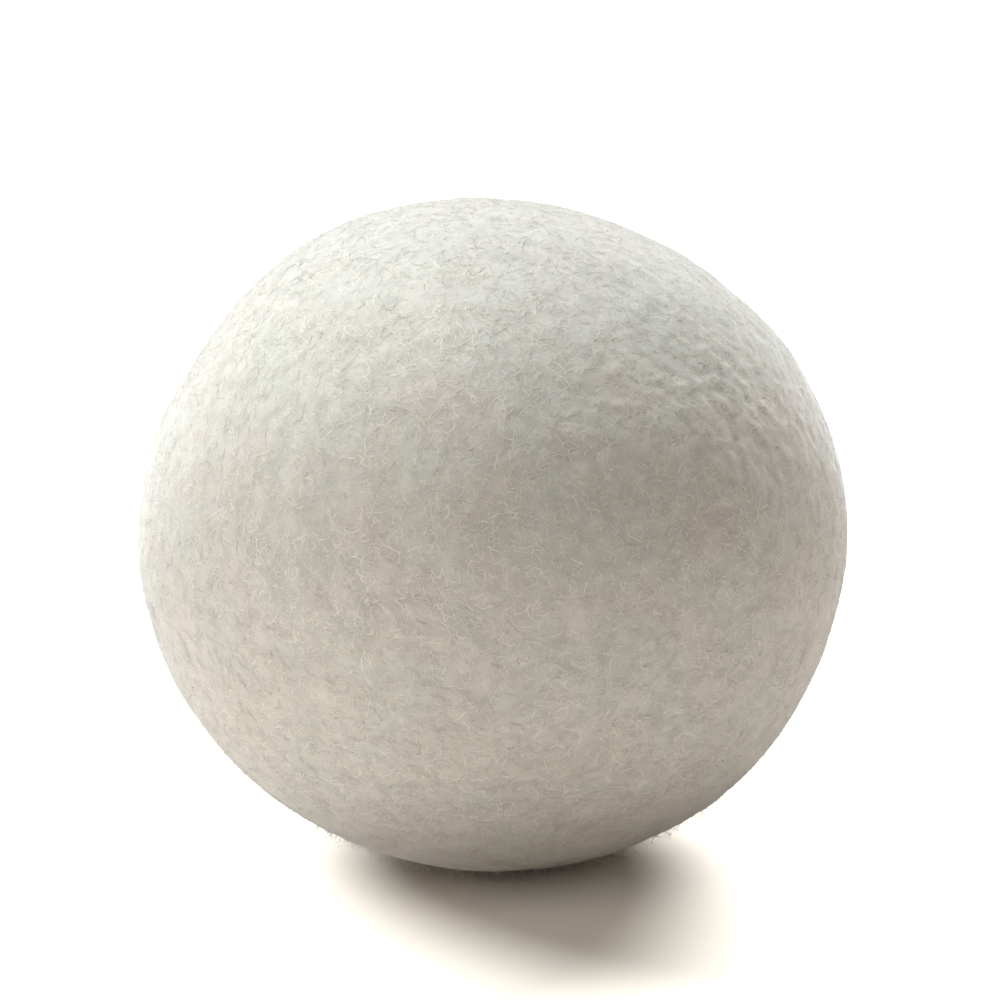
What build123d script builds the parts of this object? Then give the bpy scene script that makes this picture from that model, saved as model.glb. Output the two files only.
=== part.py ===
"""Felted wool dryer ball: a rolled core, six crossing wraps of carded fleece and a closed felt skin.

Frame: millimetres, +Z up, origin at the bottom centre, on the surface that the ball rests on.
The ball is a slightly flattened round that leans sideways, with a flat patch where it has settled.
"""

from build123d import *
import os
from math import cos, radians, sin, sqrt

# Finished ball
BALL_WIDTH = 70.0  # along its long axis, which rises towards +X
BALL_DEPTH = 68.6  # from front to back
BALL_THICKNESS = 66.4  # along its short axis
BALL_LEAN = 6.0  # degrees from upright to the short axis, towards -X
REST_PATCH = 16.0  # from front to back across the flat patch underneath

# Core: one strip of carded wool rolled up tight, then rounded over
CORE_RADIUS = 11.0
STRIP_PITCH = 3.0  # from one turn of the roll to the next
STRIP_SEAM = 0.15  # left open between two turns
STRIP_EYE = 0.9  # radius of the first half turn

# Wraps: each is a belt of fleece wound around the ball, with an opening left at both its poles
# that the next wrap, which goes around another axis, covers and fills
WRAP_THICKNESS = 3.0
WRAP_AXES = ("Z", "X", "Y", "Z", "X", "Y")  # from the inside out
POLE_OPENING = 30.0  # degrees from the belt's axis to its edge, on the surface it lies on

os.makedirs("parts", exist_ok=True)

# The patch takes the lowest cap off the leaning round, so the centre stands lower by its height.
half_width = BALL_WIDTH / 2
half_thickness = BALL_THICKNESS / 2
lean = radians(BALL_LEAN)
lowest = sqrt((half_width * sin(lean)) ** 2 + (half_thickness * cos(lean)) ** 2)
centre = Vector(0, 0, lowest * sqrt(1 - (REST_PATCH / BALL_DEPTH) ** 2))

# What each wrap goes around, and the direction beside it that its profile is drawn in
directions = {"X": Vector(1, 0, 0), "Y": Vector(0, 1, 0), "Z": Vector(0, 0, 1)}
beside = {"X": directions["Y"], "Y": directions["Z"], "Z": directions["X"]}


def plane_through(along, across):
    """The plane at the ball's centre whose local Y is along and whose local X is across."""
    return Plane(origin=centre, x_dir=across, z_dir=across.cross(along))


# ---- core_roll: the strip's two faces are half turns of growing radius, about two centres in turn
with BuildPart() as core_roll:
    with BuildSketch(plane_through(directions["Z"], directions["X"])):
        with BuildLine():
            ends = []
            for start_radius in (STRIP_EYE, STRIP_EYE + STRIP_PITCH - STRIP_SEAM):
                for turn in range(int(2 * CORE_RADIUS / STRIP_PITCH) + 3):
                    side = 1 if turn % 2 == 0 else -1
                    radius = start_radius + turn * STRIP_PITCH / 2
                    shift = side * STRIP_PITCH / 4
                    half_turn = ThreePointArc(
                        (shift - side * radius, 0),
                        (shift, side * radius),
                        (shift + side * radius, 0),
                    )
                    if turn == 0:
                        ends.append(half_turn @ 0)
                ends.append(half_turn @ 1)
            Line(ends[0], ends[2])
            Line(ends[1], ends[3])
        make_face()
    extrude(amount=CORE_RADIUS, both=True)
    with Locations(centre):
        Sphere(CORE_RADIUS, mode=Mode.INTERSECT)
core_roll.part.label = "core_roll"
export_step(core_roll.part, "parts/core_roll.step")

# ---- fleece_wrap_1 to 6: each belt fills the hollow between its own outside and all that is wound
with BuildPart() as wound:
    with Locations(centre):
        Sphere(CORE_RADIUS)

inner = CORE_RADIUS
for number, name in enumerate(WRAP_AXES, start=1):
    outer = inner + WRAP_THICKNESS
    half_belt = inner * cos(radians(POLE_OPENING))
    inner_rim = inner * sin(radians(POLE_OPENING))
    outer_rim = sqrt(outer**2 - half_belt**2)
    around = Axis(centre, directions[name])
    profile_plane = plane_through(directions[name], beside[name])

    with BuildPart() as wrap:
        with BuildSketch(profile_plane):
            with BuildLine():
                ThreePointArc((outer_rim, -half_belt), (outer, 0), (outer_rim, half_belt))
                Polyline(
                    (outer_rim, half_belt), (0, half_belt), (0, -half_belt), (outer_rim, -half_belt)
                )
            make_face()
        revolve(axis=around)
        add(wound.part, mode=Mode.SUBTRACT)
    wrap.part.label = f"fleece_wrap_{number}"
    export_step(wrap.part, f"parts/fleece_wrap_{number}.step")

    # The ball as it is wound now: the belt's outside, with the ball below it in its two openings
    with BuildPart() as wound:
        with BuildSketch(profile_plane):
            with BuildLine():
                ThreePointArc((outer_rim, -half_belt), (outer, 0), (outer_rim, half_belt))
                Line((outer_rim, half_belt), (inner_rim, half_belt))
                CenterArc((0, 0), inner, 90 - POLE_OPENING, POLE_OPENING)
                Line((0, inner), (0, -inner))
                CenterArc((0, 0), inner, -90, POLE_OPENING)
                Line((inner_rim, -half_belt), (outer_rim, -half_belt))
            make_face()
        revolve(axis=around)
    inner = outer

# ---- felt_skin: the closed outside, laid on the wraps and matted together with them
with BuildPart() as rounded:
    Sphere(BALL_WIDTH / 2)
    scale(by=(1, BALL_DEPTH / BALL_WIDTH, BALL_THICKNESS / BALL_WIDTH))

with BuildPart() as felt_skin:
    with Locations(Location(centre, (0, -BALL_LEAN, 0))):
        add(rounded.part)
    with BuildSketch(Plane.XY):
        Rectangle(2 * BALL_WIDTH, 2 * BALL_WIDTH)
    extrude(amount=2 * BALL_WIDTH, mode=Mode.INTERSECT)
    add(wound.part, mode=Mode.SUBTRACT)
felt_skin.part.label = "felt_skin"
export_step(felt_skin.part, "parts/felt_skin.step")
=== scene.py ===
# %% [markdown]
# A felted wool dryer ball. It is a lump of sheep's wool that was wound up and then felted in hot water,
# until the outside locked into a springy, matted skin. This lesson builds the visible skin twice over:
# first as a lumpy surface, then as thousands of short curly strands that lie matted on it.

# %% Load the frame
import math
import bpy
import numpy as np
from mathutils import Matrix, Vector
from mathutils.bvhtree import BVHTree


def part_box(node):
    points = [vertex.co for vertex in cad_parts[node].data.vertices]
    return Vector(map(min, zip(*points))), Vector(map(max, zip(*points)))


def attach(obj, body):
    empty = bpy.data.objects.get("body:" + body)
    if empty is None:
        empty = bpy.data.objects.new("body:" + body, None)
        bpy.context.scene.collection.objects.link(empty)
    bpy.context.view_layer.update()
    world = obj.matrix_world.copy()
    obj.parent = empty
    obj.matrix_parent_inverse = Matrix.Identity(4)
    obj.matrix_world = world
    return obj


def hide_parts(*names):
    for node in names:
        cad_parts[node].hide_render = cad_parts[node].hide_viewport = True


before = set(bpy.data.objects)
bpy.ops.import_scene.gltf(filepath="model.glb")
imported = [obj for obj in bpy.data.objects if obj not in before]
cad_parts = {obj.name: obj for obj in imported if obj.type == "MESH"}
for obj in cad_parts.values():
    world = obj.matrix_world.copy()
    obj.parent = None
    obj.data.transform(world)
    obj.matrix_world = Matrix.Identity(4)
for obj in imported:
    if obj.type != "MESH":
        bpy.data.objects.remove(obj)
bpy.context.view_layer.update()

print("the frame's nodes are", ", ".join(sorted(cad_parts)))

# %% [markdown]
# A hand-wound ball is a little wider than it is tall, and it leans. These are the sizes that it was
# designed with. Its centre isn't halfway up, because it rests on a small flat, so it is measured down from
# the top of the designed skin. Moving each piece by eye would drift; one shared centre keeps them together.

# %% Sizes that the whole script shares
MM = 0.001
BALL_WIDTH = 70.0 * MM
BALL_DEPTH = 68.6 * MM
BALL_THICKNESS = 66.4 * MM
BALL_LEAN = math.radians(6)
skin_top = Vector(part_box("felt_skin")[1]).z
top_to_centre = math.hypot(BALL_WIDTH / 2 * math.sin(BALL_LEAN), BALL_THICKNESS / 2 * math.cos(BALL_LEAN))
centre = Vector((0, 0, skin_top - top_to_centre))
print("the ball's centre is", round(centre.z / MM, 2), "mm above what it rests on")

# %% [markdown]
# The skin starts as a cube cut into a fine grid and pushed out to a sphere. An icosphere would do too,
# but the grid gives four-sided faces of even size, which take smoothing and fine relief without a pole.

# %% The round of the skin
GRID_CUTS = 31
bpy.ops.object.select_all(action="DESELECT")
bpy.ops.mesh.primitive_cube_add(size=BALL_WIDTH / math.sqrt(3), location=centre)
skin = bpy.context.object
skin.name = "felted_surface"
skin.data.name = "felted_surface"
bpy.ops.object.transform_apply(location=True, rotation=False, scale=False)
bpy.ops.object.mode_set(mode="EDIT")
bpy.ops.mesh.select_all(action="SELECT")
bpy.ops.mesh.subdivide(number_cuts=GRID_CUTS)
bpy.ops.transform.tosphere(value=1.0)
bpy.ops.object.mode_set(mode="OBJECT")
round_radius = (skin.data.vertices[0].co - centre).length
print("the cube is now a round of", round(round_radius / MM, 2), "mm radius")

# %% [markdown]
# The round is then flattened and leaned. Both are done in edit mode, about the ball's own centre, so the
# change goes into the mesh and the object itself stays unturned and unscaled.

# %% Flatten it and lean it
half_sizes = Vector((BALL_WIDTH, BALL_DEPTH, BALL_THICKNESS)) / 2
bpy.ops.object.mode_set(mode="EDIT")
bpy.ops.transform.resize(value=half_sizes / round_radius, center_override=centre)
bpy.ops.transform.rotate(value=-BALL_LEAN, orient_axis="Y", center_override=centre)
bpy.ops.object.mode_set(mode="OBJECT")
rightmost = max(skin.data.vertices, key=lambda v: v.co.x)
print("the round reaches", round(rightmost.co.x / MM, 2), "mm to the right,",
      round((rightmost.co.z - centre.z) / MM, 2), "mm above its centre")

# %% [markdown]
# No hand-made ball is a true round. The felting drum leaves low swellings and flats, each a few
# centimetres wide and less than a millimetre high. They could be painted with a sculpt brush; here each
# is one pull on the nearest point with a soft falloff, so every one has a place, a height and a reach.

# %% Swellings and flats
# Each is (degrees around from the right, degrees towards the back, height in mm, reach in mm).
SWELLINGS = (
    (116, 0, 0.55, 14),
    (148, 0, -0.85, 13),
    (196, 10, 0.25, 16),
    (245, 0, -0.25, 18),
    (312, 0, 0.5, 14),
    (337, 0, -0.45, 11),
    (4, 0, 0.3, 12),
    (64, 0, -0.45, 15),
    (28, 0, 0.35, 11),
    (95, -48, 0.4, 16),
    (210, -50, -0.35, 15),
    (330, -40, 0.35, 14),
    (60, 55, 0.45, 17),
    (160, 50, -0.4, 15),
    (285, 45, 0.4, 16),
)


def towards(around, back):
    """A direction from the centre: around is in the plane of width and height, back is out of it."""
    a = math.radians(around)
    b = math.radians(back)
    return Vector((math.cos(a) * math.cos(b), math.sin(b), math.sin(a) * math.cos(b)))


def pull(piece, direction, height, reach):
    """Moves the point nearest to a direction in or out, and its surroundings with it."""
    bpy.ops.object.mode_set(mode="OBJECT")
    for element in (*piece.data.vertices, *piece.data.edges, *piece.data.polygons):
        element.select = False
    nearest = max(piece.data.vertices, key=lambda v: (v.co - centre).normalized().dot(direction))
    nearest.select = True
    bpy.ops.object.mode_set(mode="EDIT")
    bpy.ops.transform.translate(
        value=direction * height,
        use_proportional_edit=True,
        proportional_edit_falloff="SMOOTH",
        proportional_size=reach,
    )
    bpy.ops.object.mode_set(mode="OBJECT")


for around, back, height, reach in SWELLINGS:
    pull(skin, towards(around, back), height * MM, reach * MM)
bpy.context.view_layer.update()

# %% [markdown]
# Felt is not smooth between those swellings. Wool mats into soft clumps a few millimetres wide, with
# finer curls on them. Three displacements with clouds of different sizes, on a finer grid, give that
# relief as real geometry, so it also shows where the ball meets the background. A bump in the material
# would leave the edge clean.

# %% The matted relief
RELIEF = (  # name, size of the clouds in mm, height in mm
    ("clumps", 7.0, 0.35),
    ("mats", 2.4, 0.15),
    ("curls", 1.0, 0.05),
    ("tufts", 1.4, 0.4),
)
FINER_LEVELS = 2


def cloudy(piece, name, size, height):
    """Displaces a piece along its normals by a soft cloud pattern."""
    clouds = bpy.data.textures.new(name, type="CLOUDS")
    clouds.noise_scale = size
    clouds.noise_depth = 2
    relief = piece.modifiers.new(name, "DISPLACE")
    relief.texture = clouds
    relief.texture_coords = "LOCAL"
    relief.strength = height
    relief.mid_level = 0.5
    return relief


finer = skin.modifiers.new("finer", "SUBSURF")
finer.levels = FINER_LEVELS
finer.render_levels = FINER_LEVELS
reliefs = {name: cloudy(skin, name, size * MM, height * MM) for name, size, height in RELIEF}
print("the relief is", ", ".join(reliefs))

# %% [markdown]
# On one shoulder the wool felted less tightly and stands in small tufts. The fourth displacement works
# only there, through a vertex group that fades out with distance. Then the modifiers are applied, in
# their order, and what came below the floor is laid flat on it, since that is where the ball rests.

# %% Tufts on one shoulder, and the flat that it rests on
TUFTED_SIDE = Vector((0.62, -0.5, 0.6)).normalized()
TUFT_FADE = 6


def pick_only(piece):
    """Deselects everything else, because an operator acts on all that is selected."""
    bpy.ops.object.select_all(action="DESELECT")
    piece.select_set(True)
    bpy.context.view_layer.objects.active = piece


def apply_modifiers(piece):
    """Bakes a piece's modifiers into its mesh, from the first to the last."""
    pick_only(piece)
    for name in [modifier.name for modifier in piece.modifiers]:
        bpy.ops.object.modifier_apply(modifier=name)


tufted = skin.vertex_groups.new(name="tufted")
for vertex in skin.data.vertices:
    nearness = (vertex.co - centre).normalized().dot(TUFTED_SIDE)
    tufted.add([vertex.index], max(0, nearness) ** TUFT_FADE, "REPLACE")
reliefs["tufts"].vertex_group = "tufted"
apply_modifiers(skin)

under = [vertex for vertex in skin.data.vertices if vertex.co.z < 0]
for vertex in under:
    vertex.co.z = 0
pick_only(skin)
bpy.ops.object.shade_smooth()
print("the surface has", len(skin.data.polygons), "faces, and", len(under), "points rest on the floor")

# %% [markdown]
# The strands. Wool is crimped, so a strand is never straight: it wanders, turns back and sometimes loops.
# A hair system could grow them, but its hairs stand up from the skin, and felted wool lies flat in it.
# So each strand is walked over the surface, a step at a time, with its own crimp, and dips into the skin
# at both ends. The walks are done on a round of radius 1, and a ray from the centre then says how far out
# the skin is at each step.

# %% Where the surface is, in every direction
surface = BVHTree.FromObject(skin, bpy.context.evaluated_depsgraph_get())
middle = np.array(centre)


def surface_radius(directions):
    """How far the skin is from the centre along each of these directions."""
    return np.array([surface.ray_cast(centre, Vector(d))[3] for d in directions])


def unit(vectors):
    """The same directions, each with a length of 1."""
    return vectors / np.linalg.norm(vectors, axis=-1, keepdims=True)


print("towards the front the skin is", round(surface_radius([(0, -1, 0)])[0] / MM, 2), "mm from the centre")

# %% [markdown]
# Strands next to each other keep roughly the same direction, as combed wool does. A few slow waves,
# crossed with each other, make that direction swirl over the ball. On the tufted shoulder the strands
# stand more upright, so the swirl gives way to an upward pull there.

# %% The way the wool is combed
SWIRL = (  # for X, Y and Z: which coordinate it depends on, how fast it turns, and where it starts
    ((1, 3.1, 1.3), (2, 4.3, 0.4)),
    ((2, 3.7, 2.1), (0, 2.9, 5.0)),
    ((0, 3.3, 0.2), (1, 4.9, 3.3)),
)
UPRIGHT_PULL = np.array((0.3, 0.0, 4.5))
UPRIGHT_FADE = 4


def combing(points):
    """The direction that the wool is combed in near each point: a slow swirl over the ball."""
    swirl = np.stack(
        [sum(np.sin(speed * points[:, axis] + start) for axis, speed, start in waves) for waves in SWIRL],
        axis=-1,
    )
    upright = np.clip(unit(points) @ np.array(TUFTED_SIDE), 0, 1)[:, None] ** UPRIGHT_FADE
    return swirl + upright * UPRIGHT_PULL


front_combing = unit(combing(np.array([[0.0, -1.0, 0.0]])))[0]
print("at the front the wool is combed towards", front_combing.round(2))

# %% [markdown]
# A walk starts anywhere on the ball, along the combing or a little astray of it. On the way it bends, and
# its crimp swings it from side to side. About one strand in six bends so much that it closes into a loop.
# All strands of a piece take each step together, as rows of one array, which is far quicker than a curve
# object for each.

# %% Walk the strands
STRAY = 0.95  # how far a strand starts astray of the combing, in radians
BEND_HALF_TURNS = 0.75
LOOP_SHARE = 0.18
LOOP_HALF_TURNS = (1.2, 1.9)
CRIMP_SWING = (0.2, 0.75)
CRIMP_WAVES = (0.7, 1.8)


def walk(random, count, rings, length):
    """Directions from the centre to each ring of each strand. Its length is in mm."""
    point = unit(random.normal(size=(count, 3)))
    comb = combing(point)
    comb = unit(comb - (comb * point).sum(-1, keepdims=True) * point)
    across = np.cross(point, comb)
    astray = random.normal(0, STRAY, count)[:, None]
    heading = np.cos(astray) * comb + np.sin(astray) * across
    lengths = random.uniform(*length, count) * MM
    step = (lengths / (rings - 1) / (BALL_WIDTH / 2))[:, None]
    bend = random.normal(0, 1.0, count) * np.pi * BEND_HALF_TURNS
    loops = random.random(count) < LOOP_SHARE
    bend = np.where(loops, np.sign(bend) * random.uniform(*LOOP_HALF_TURNS, count) * np.pi, bend)
    swing = random.uniform(*CRIMP_SWING, count)
    phase = random.uniform(0, 2 * np.pi, count)
    waves = random.uniform(*CRIMP_WAVES, count)

    path, angle_before = [point], 0.0
    for ring in range(1, rings):
        along = ring / (rings - 1)
        angle = bend * along + swing * np.sin(2 * np.pi * waves * along + phase)
        turn = (angle - angle_before)[:, None]
        angle_before = angle
        heading = unit(np.cos(turn) * heading + np.sin(turn) * np.cross(point, heading))
        point = unit(point + heading * step)
        heading = unit(heading - (heading * point).sum(-1, keepdims=True) * point)
        path.append(point)
    return np.stack(path, axis=1)


TRIAL_STRANDS = 200
trial = walk(np.random.default_rng(0), TRIAL_STRANDS, rings=6, length=(2, 2))
straight = np.linalg.norm(trial[:, -1] - trial[:, 0], axis=-1).mean() * BALL_WIDTH / 2
print("strands of 2 mm end", round(straight / MM, 2), "mm from where they start, on average")

# %% [markdown]
# A matted strand lies in the skin: it arches up a few hundredths of a millimetre in the middle, and its
# ends are tucked under. A loose one is held at its first end only, and rises towards its free end. No
# strand goes below the floor.

# %% How high each strand lies
ARCH = 0.6
TUCK = 0.05  # how deep the ends go under the skin, in mm
FREE_RISE = (0.2, 1.0)
FREE_CURVE = 1.4


def lie(random, path, thickness, lift, loose):
    """The strands' middle lines and their radii. Thickness, lift and loose are in mm."""
    count, rings = path.shape[:2]
    radius = random.uniform(*thickness, count)[:, None] / 2 * MM
    along = np.linspace(0, 1, rings)[None, :]
    base = random.uniform(*lift, count)[:, None] * MM
    if loose:
        rise = random.uniform(*FREE_RISE, count)[:, None] ** 2 * loose * MM
        height = base + rise * along**FREE_CURVE
    else:
        height = base * np.sin(np.pi * along) ** ARCH - TUCK * MM * (1 - np.sin(np.pi * along))
    reach = surface_radius(path.reshape(-1, 3)).reshape(count, rings)
    line = middle + path * (reach + height)[..., None]
    line[..., 2] = np.maximum(line[..., 2], radius)
    return line, radius


trial_line, _ = lie(np.random.default_rng(0), trial, thickness=(0.1, 0.1), lift=(0, 0), loose=0)
print("the lowest of the trial strands is", round(trial_line[..., 2].min() / MM, 2), "mm above the floor")

# %% [markdown]
# Each line is wrapped in a tube of three sides, with an edge outwards, flattened and tapered. More sides
# would look no better at a tenth of a millimetre, and there are tens of thousands of strands. A round
# tube would throw a hard shadow line, so it is flattened to a fifth of its width.

# %% Wrap a strand in three sides
SIDES = 3
FLATNESS = 0.22
TAPER_ALONG = (0, 0.12, 0.85, 1)
TAPER_WIDTH = (0.55, 1, 1, 0.35)


def tube(path, line, radius):
    """The corner points of every ring, and which way each corner faces."""
    forward = unit(np.gradient(line, axis=1))
    out = unit(path - (path * forward).sum(-1, keepdims=True) * forward)
    beside = np.cross(out, forward)
    taper = np.interp(np.linspace(0, 1, path.shape[1])[None, :], TAPER_ALONG, TAPER_WIDTH)
    corner = np.arange(SIDES) * 2 * np.pi / SIDES + np.pi / 2
    spread = (
        out[:, :, None] * np.sin(corner)[:, None] * FLATNESS
        + beside[:, :, None] * np.cos(corner)[:, None]
    )
    places = line[:, :, None] + spread * (radius * taper)[..., None, None]
    places[..., 2] = np.maximum(places[..., 2], 0)
    return places, spread


def tube_faces(count, rings):
    """The corner numbers of each four-sided wall, then of each start cap, then of each end cap."""
    ring, side = np.meshgrid(np.arange(rings - 1), np.arange(SIDES), indexing="ij")
    after = (side + 1) % SIDES
    walls = np.stack(
        (
            ring * SIDES + side,
            ring * SIDES + after,
            (ring + 1) * SIDES + after,
            (ring + 1) * SIDES + side,
        ),
        axis=-1,
    ).reshape(-1, 4)
    first = np.arange(count)[:, None, None] * rings * SIDES
    start_caps = np.arange(SIDES)[::-1][None] + first[:, :, 0]
    end_caps = np.arange(SIDES)[None] + (rings - 1) * SIDES + first[:, :, 0]
    return (walls[None] + first).reshape(-1), start_caps.reshape(-1), end_caps.reshape(-1)


print("a strand of 6 rings has", sum(len(part) for part in tube_faces(1, 6)), "face corners")

# %% [markdown]
# The tubes become one mesh. Felt has no hard edges, so each corner's shading normal leans from the tube's
# own roundness towards the ball's. That keeps a strand visible without giving it a dark side.

# %% Make a mesh of the tubes
SOFTNESS = 0.8  # how far a strand's shading leans from its own roundness towards the ball's


def strand_mesh(name, path, places, spread):
    """Fills a mesh with the tubes, smooth, with softened normals."""
    count, rings = path.shape[:2]
    walls, start_caps, end_caps = tube_faces(count, rings)
    quads, caps = len(walls) // 4, len(start_caps) // SIDES
    starts = np.concatenate((np.arange(quads) * 4, quads * 4 + np.arange(2 * caps) * SIDES))
    mesh = bpy.data.meshes.new(name)
    mesh.vertices.add(count * rings * SIDES)
    mesh.vertices.foreach_set("co", places.reshape(-1))
    mesh.loops.add(len(walls) + len(start_caps) + len(end_caps))
    mesh.loops.foreach_set("vertex_index", np.concatenate((walls, start_caps, end_caps)))
    mesh.polygons.add(quads + 2 * caps)
    mesh.polygons.foreach_set("loop_start", starts)
    mesh.update(calc_edges=True)
    mesh.validate()
    mesh.polygons.foreach_set("use_smooth", np.ones(len(mesh.polygons), dtype=bool))
    own = unit(spread.reshape(-1, 3))
    ball = np.repeat(path.reshape(-1, 3), SIDES, axis=0)
    mesh.normals_split_custom_set_from_vertices(unit(own * (1 - SOFTNESS) + ball * SOFTNESS))
    return mesh


print("a strand's shading is", SOFTNESS, "the ball's and", round(1 - SOFTNESS, 2), "its own")

# %% [markdown]
# The wool's own colours. Undyed wool is cream, but no two locks are the same: some are whiter, some
# greyer, some faintly rosy. Each strand takes one of five tints by its material slot. Wool is matt, and a
# little sheen stands for the finest fibres, which catch the light at the edge of the ball.

# %% The tints, from dark to pale
WOOL_TINTS = (
    ("wool_grey", (0.605, 0.55, 0.455)),
    ("wool_natural", (0.665, 0.61, 0.50)),
    ("wool_rosy", (0.725, 0.635, 0.54)),
    ("wool_cream", (0.715, 0.66, 0.53)),
    ("wool_white", (0.785, 0.725, 0.61)),
)
WOOL_ROUGHNESS = 0.9
WOOL_SPECULAR = 0.25
WOOL_SHEEN = 0.6
SHEEN_ROUGHNESS = 0.4


def plain_wool(name, colour):
    """A matt wool of one colour, with a faint sheen."""
    material = bpy.data.materials.new(name)
    material.use_nodes = True
    shader = material.node_tree.nodes["Principled BSDF"]
    shader.inputs["Base Color"].default_value = (*colour, 1)
    shader.inputs["Roughness"].default_value = WOOL_ROUGHNESS
    shader.inputs["Specular IOR Level"].default_value = WOOL_SPECULAR
    shader.inputs["Sheen Weight"].default_value = WOOL_SHEEN
    shader.inputs["Sheen Roughness"].default_value = SHEEN_ROUGHNESS
    return material


tints = [plain_wool(name, colour) for name, colour in WOOL_TINTS]
print("wool tints:", ", ".join(material.name for material in tints))

# %% [markdown]
# Locks of one colour stay together when they felt, so the tints lie in patches: broad ones a few
# centimetres wide, small ones of two or three millimetres, and a little chance for each strand. The
# combing's own waves, sped up, serve as the patches. A painted texture would need the strands unwrapped.

# %% A tint for each strand
BROAD_PATCHES = 2.3
SMALL_PATCHES = 23
BROAD_DAMPING = 3
SMALL_DAMPING = 1.5
CHANCE = 0.4
TINT_STEPS = (-0.9, -0.3, 0.3, 0.9)


def tint_numbers(random, path):
    """Which tint each strand takes, as a number from 0."""
    broad = combing(path[:, 0] * BROAD_PATCHES)[:, 0] / BROAD_DAMPING
    small = combing(path[:, 0] * SMALL_PATCHES)[:, 1] / SMALL_DAMPING
    return np.digitize(broad + small + random.normal(0, CHANCE, len(path)), TINT_STEPS)


shares = np.bincount(tint_numbers(np.random.default_rng(0), trial), minlength=len(tints)) / TRIAL_STRANDS
print("the trial strands' share of each tint:", shares.round(2))

# %% [markdown]
# Two lots of strands are laid. The matted wool lies flat all over and holds the colour. The loose fuzz is
# finer, and its free ends stand off by up to 1.2 mm, so the edge of the ball isn't a clean line.
# The matted wool comes in batches, so no piece is too heavy to handle on its own.

# %% Lay the strands
MATTED_BATCHES = 6
MATTED_STRANDS = 6200
MATTED_SEED = 100
FUZZ_BATCHES = 2
FUZZ_STRANDS = 7600
FUZZ_SEED = 7


def lay(name, count, rings, length, thickness, lift, loose, seed):
    """Makes one piece of many strands. Lengths are in mm; loose is how far the free ends stand off."""
    random = np.random.default_rng(seed)
    path = walk(random, count, rings, length)
    line, radius = lie(random, path, thickness, lift, loose)
    mesh = strand_mesh(name, path, *tube(path, line, radius))
    piece = bpy.data.objects.new(name, mesh)
    bpy.context.collection.objects.link(piece)
    tint = tint_numbers(random, path)
    for material in tints:
        mesh.materials.append(material)
    walls_then_caps = np.concatenate((np.repeat(tint, (rings - 1) * SIDES), tint, tint))
    mesh.polygons.foreach_set("material_index", walls_then_caps)
    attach(piece, "root")
    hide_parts("felt_skin")
    print(name, "has", len(mesh.loops) - 2 * len(mesh.polygons), "triangles")


for number in range(MATTED_BATCHES):
    lay(
        f"matted_wool_{number + 1}",
        count=MATTED_STRANDS,
        rings=6,
        length=(1.2, 3.2),
        thickness=(0.07, 0.14),
        lift=(-0.005, 0.03),
        loose=0,
        seed=MATTED_SEED + number,
    )
for number in range(FUZZ_BATCHES):
    lay(
        f"loose_fuzz_{number + 1}",
        count=FUZZ_STRANDS,
        rings=5,
        length=(0.9, 2.6),
        thickness=(0.035, 0.06),
        lift=(0.0, 0.1),
        loose=1.2,
        seed=FUZZ_SEED + number,
    )

# %% [markdown]
# The felt under the strands, the fleece of the wraps and the wool of the core are one material with
# different settings. Three noise patterns do it, at three sizes, and they are multiplied together. These
# helpers each add one node, so that the material below reads as a short recipe.

# %% One node at a time


def noise(material, place, scale, detail, distortion, kind="FBM"):
    """Adds a noise pattern and gives back its value."""
    pattern = material.node_tree.nodes.new("ShaderNodeTexNoise")
    pattern.noise_type = kind
    pattern.inputs["Scale"].default_value = scale
    pattern.inputs["Detail"].default_value = detail
    pattern.inputs["Distortion"].default_value = distortion
    material.node_tree.links.new(place, pattern.inputs["Vector"])
    return pattern.outputs["Fac"]


def ramp(material, value, low, high, dark, pale):
    """Turns a value into a colour, from dark at low to pale at high."""
    colours = material.node_tree.nodes.new("ShaderNodeValToRGB")
    ends = colours.color_ramp.elements
    ends[0].position = low
    ends[0].color = (*dark, 1)
    ends[1].position = high
    ends[1].color = (*pale, 1)
    material.node_tree.links.new(value, colours.inputs["Fac"])
    return colours.outputs["Color"]


def multiply(material, one, other):
    """Multiplies two colours."""
    product = material.node_tree.nodes.new("ShaderNodeMix")
    product.data_type = "RGBA"
    product.blend_type = "MULTIPLY"
    product.inputs["Factor"].default_value = 1.0
    material.node_tree.links.new(one, product.inputs[6])
    material.node_tree.links.new(other, product.inputs[7])
    return product.outputs[2]


print("a wool is made of", noise.__name__, "then", ramp.__name__, "then", multiply.__name__)

# %% [markdown]
# Broad patches drift in hue, a mottle of two or three millimetres drifts in shade, and fine ridged lines
# stand for the fibres, in colour and as a shallow bump. On a wrap the lines are stretched around its
# winding axis, since the strip was wound that way. All of it reads Object coordinates, so it needs no
# unwrapping and stays put on the piece.

# %% Patterned wool
HUE_PATCHES = (140, 2, 0.3)  # scale, detail and distortion of the noise
MOTTLE = (560, 3, 0.6)
FIBRES = (1300, 2, 1.6)
MIDDLE_VALUES = (0.35, 0.65)
RIDGE_VALUES = (0.2, 1.0)
FAINTER_LINES = 0.04  # how much closer to white the fibre lines are than the mottle
BUMP_STRENGTH = 0.3
FELT = (0.70, 0.635, 0.55)
GREYER_FELT = (0.665, 0.64, 0.555)


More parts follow.
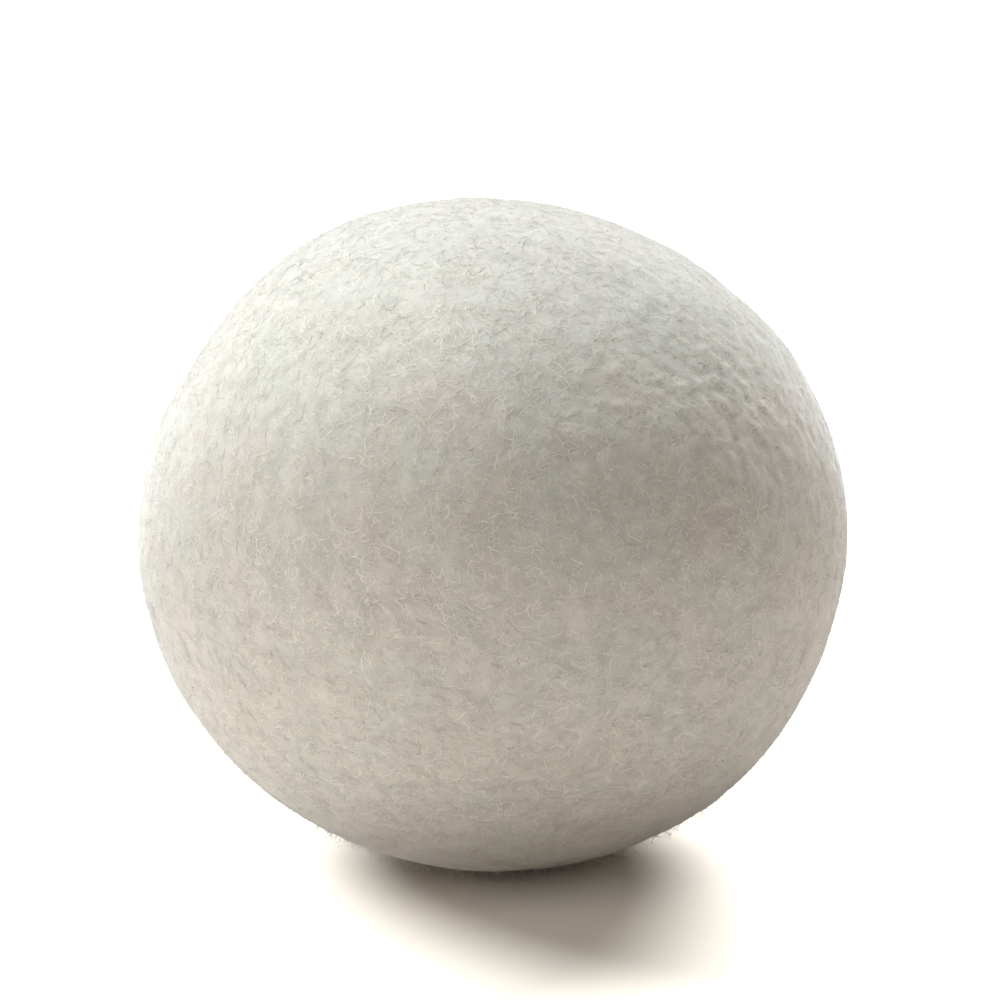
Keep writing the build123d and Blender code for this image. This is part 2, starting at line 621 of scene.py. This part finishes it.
def patterned_wool(name, first, second, stretch=(1, 1, 1), contrast=0.86, fibre_height=0.15):
    """Wool with patches, mottle and fibre lines. Stretch is along X, Y and Z; the height is in mm."""
    material = plain_wool(name, first)
    nodes = material.node_tree.nodes
    links = material.node_tree.links
    shader = nodes["Principled BSDF"]
    coordinates = nodes.new("ShaderNodeTexCoord")
    wound = nodes.new("ShaderNodeMapping")
    wound.inputs["Scale"].default_value = stretch
    links.new(coordinates.outputs["Object"], wound.inputs["Vector"])
    place = wound.outputs["Vector"]

    fibres = noise(material, place, *FIBRES, "RIDGED_MULTIFRACTAL")
    hue = ramp(material, noise(material, place, *HUE_PATCHES), *MIDDLE_VALUES, first, second)
    shade = ramp(material, noise(material, place, *MOTTLE), *MIDDLE_VALUES, [contrast] * 3, [1.0] * 3)
    lines = ramp(material, fibres, *RIDGE_VALUES, [contrast + FAINTER_LINES] * 3, [1.0] * 3)
    wool = multiply(material, multiply(material, hue, shade), lines)
    links.new(wool, shader.inputs["Base Color"])
    bump = nodes.new("ShaderNodeBump")
    bump.inputs["Strength"].default_value = BUMP_STRENGTH
    bump.inputs["Distance"].default_value = fibre_height * MM
    links.new(fibres, bump.inputs["Height"])
    links.new(bump.outputs["Normal"], shader.inputs["Normal"])
    return material


skin.data.materials.append(patterned_wool("matted_felt", FELT, GREYER_FELT))
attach(skin, "root")
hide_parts("felt_skin")
print(skin.name, "has", skin.data.materials[0].name)

# %% [markdown]
# Inside are the rolled core and the six strips of fleece, each wound about another axis than the one under
# it. They are the designed pieces themselves and stay as they are; only their finish is given here, with
# the fibres running around each strip's own axis.

# %% The core and the wraps
AROUND = {"X": (1.0, 0.3, 0.3), "Y": (0.3, 1.0, 0.3), "Z": (0.3, 0.3, 1.0)}
WRAP_AXES = ("Z", "X", "Y", "Z", "X", "Y")
FLEECE = (0.74, 0.69, 0.60)
GREYER_FLEECE = (0.69, 0.65, 0.57)
CORE = (0.64, 0.58, 0.49)
GREYER_CORE = (0.58, 0.54, 0.47)
FLEECE_LOOK = {"contrast": 0.8, "fibre_height": 0.3}
fleece = {
    axis: patterned_wool(f"carded_fleece_{axis}", FLEECE, GREYER_FLEECE, around, **FLEECE_LOOK)
    for axis, around in AROUND.items()
}
finishes = {f"fleece_wrap_{n + 1}": fleece[axis] for n, axis in enumerate(WRAP_AXES)}
finishes["core_roll"] = patterned_wool("core_wool_fibres", CORE, GREYER_CORE, contrast=0.75)
for name, finish in finishes.items():
    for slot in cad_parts[name].material_slots:
        slot.material = finish
print(len(finishes), "inner pieces have their own wool")

# %% [markdown]
# The studio. The ball stands on a pale sweep under large soft lights from above and behind, so its crown
# is bright, a soft band of shade crosses its middle, and its underside is lit by what the sweep throws
# back. A real sweep is lit so strongly that only the core of the ball's shadow is left on it. To have
# both, the sweep has lamps of its own, and a warm board just below it, which the camera doesn't see,
# throws the ball's light back.

# %% Floor and board
FLOOR_SIZE = 8
BOARD_DROP = 0.1 * MM
FLOOR_COLOUR = (0.72, 0.69, 0.64)
BOARD_COLOUR = (0.865, 0.79, 0.73)
SHEET_ROUGHNESS = 0.9
AIR_COLOUR = (1.0, 0.88, 0.76)
AIR_STRENGTH = 0.07


def stage_sheet(name, height, colour):
    """A large matt sheet that isn't part of the object."""
    bpy.ops.object.select_all(action="DESELECT")
    bpy.ops.mesh.primitive_plane_add(size=FLOOR_SIZE, location=(0, 0, height))
    sheet = bpy.context.object
    sheet.name = name
    paint = bpy.data.materials.new(name)
    paint.use_nodes = True
    shader = paint.node_tree.nodes["Principled BSDF"]
    shader.inputs["Base Color"].default_value = (*colour, 1)
    shader.inputs["Roughness"].default_value = SHEET_ROUGHNESS
    shader.inputs["Specular IOR Level"].default_value = 0.0
    sheet.data.materials.append(paint)
    return sheet


floor = stage_sheet("floor", 0, FLOOR_COLOUR)
floor.visible_diffuse = False
floor.visible_glossy = False
floor.visible_shadow = False
board = stage_sheet("bounce_board", -BOARD_DROP, BOARD_COLOUR)
board.visible_camera = False

world = bpy.data.worlds.new("studio")
bpy.context.scene.world = world
world.use_nodes = True
world.node_tree.nodes["Background"].inputs["Color"].default_value = (*AIR_COLOUR, 1)
world.node_tree.nodes["Background"].inputs["Strength"].default_value = AIR_STRENGTH
print("the sweep is", FLOOR_SIZE, "m wide, with a board", round(BOARD_DROP / MM, 2), "mm under it")

# %% [markdown]
# A softbox could be an area lamp, but its light weakens with distance, and the ball and the sweep would
# each need it somewhere else. A sun with a wide angle is as soft and the same everywhere. Cool light from
# the upper left and neutral light from the side leave the warm bounce to tint the shaded wool.

# %% Lamps
COOL = (0.71, 0.865, 1.0)
PALE = (0.89, 0.945, 1.0)
NEUTRAL = (1.0, 1.0, 1.0)
WARM = (1.0, 0.95, 0.9)


def soft_sun(name, direction, energy, softness, colour):
    """A large soft light from a direction. The softness is the angle that it fills, in degrees."""
    light = bpy.data.lights.new(name, "SUN")
    light.energy = energy
    light.color = colour
    light.angle = math.radians(softness)
    lamp = bpy.data.objects.new(name, light)
    bpy.context.collection.objects.link(lamp)
    lamp.rotation_euler = Vector(direction).to_track_quat("Z", "Y").to_euler()
    return lamp


ball_lamps = [
    soft_sun("key_left", (-0.6, 0.4, 1.0), 1.7, 40, COOL),
    soft_sun("key_middle", (-0.1, 0.4, 1.0), 3.85, 24, PALE),
    soft_sun("left_fill", (-1.0, -0.15, 0.3), 1.6, 50, NEUTRAL),
    soft_sun("right_rim", (0.8, 1.0, 0.0), 1.65, 50, WARM),
]
floor_lamps = [
    soft_sun("floor_left", (-0.86, 0.51, 0.72), 9.0, 34, NEUTRAL),
    soft_sun("floor_right", (0.46, 0.89, 0.72), 9.0, 34, NEUTRAL),
    soft_sun("floor_front", (0.0, -1.0, 0.8), 1.3, 60, WARM),
]
print(len(ball_lamps), "lamps for the ball and", len(floor_lamps), "for the sweep")

# %% [markdown]
# Light linking keeps the two sets of lamps apart: a lamp lights only what is in its receiver collection.
# The sweep's lamps receive the floor only. The ball's lamps receive everything but the floor, which is
# said by putting the floor in their collection and marking it as left out.

# %% Which lamp lights what
only_floor = bpy.data.collections.new("only_floor")
only_floor.objects.link(floor)
not_floor = bpy.data.collections.new("not_floor")
not_floor.objects.link(floor)
not_floor.collection_objects[0].light_linking.link_state = "EXCLUDE"
for lamp in floor_lamps:
    lamp.light_linking.receiver_collection = only_floor
for lamp in ball_lamps:
    lamp.light_linking.receiver_collection = not_floor

# %% [markdown]
# The camera looks down a little, from far enough away that the ball hardly narrows towards its edge. It
# aims just above the ball's centre, which leaves more room above the ball than below it.

# %% Camera
CAMERA_DISTANCE = 0.40
CAMERA_RISE = math.radians(14)
VIEW_WIDTH = 0.0992  # how much the camera takes in at the ball, in metres
SENSOR_WIDTH = 36
AIM_RIGHT = 0.8
AIM_UP = 3.4
camera_data = bpy.data.cameras.new("camera")
camera_data.sensor_width = SENSOR_WIDTH
camera_data.lens = SENSOR_WIDTH * CAMERA_DISTANCE / VIEW_WIDTH
camera = bpy.data.objects.new("camera", camera_data)
bpy.context.collection.objects.link(camera)
camera_up = Vector((0, math.sin(CAMERA_RISE), math.cos(CAMERA_RISE)))
aim = centre + Vector((AIM_RIGHT, 0, 0)) * MM + camera_up * AIM_UP * MM
camera.location = aim + Vector((0, -math.cos(CAMERA_RISE), math.sin(CAMERA_RISE))) * CAMERA_DISTANCE
camera.rotation_euler = (camera.location - aim).to_track_quat("Z", "Y").to_euler()
bpy.context.scene.camera = camera
bpy.context.scene.view_settings.view_transform = "Standard"
print("the lens is", round(camera_data.lens, 1), "mm long")
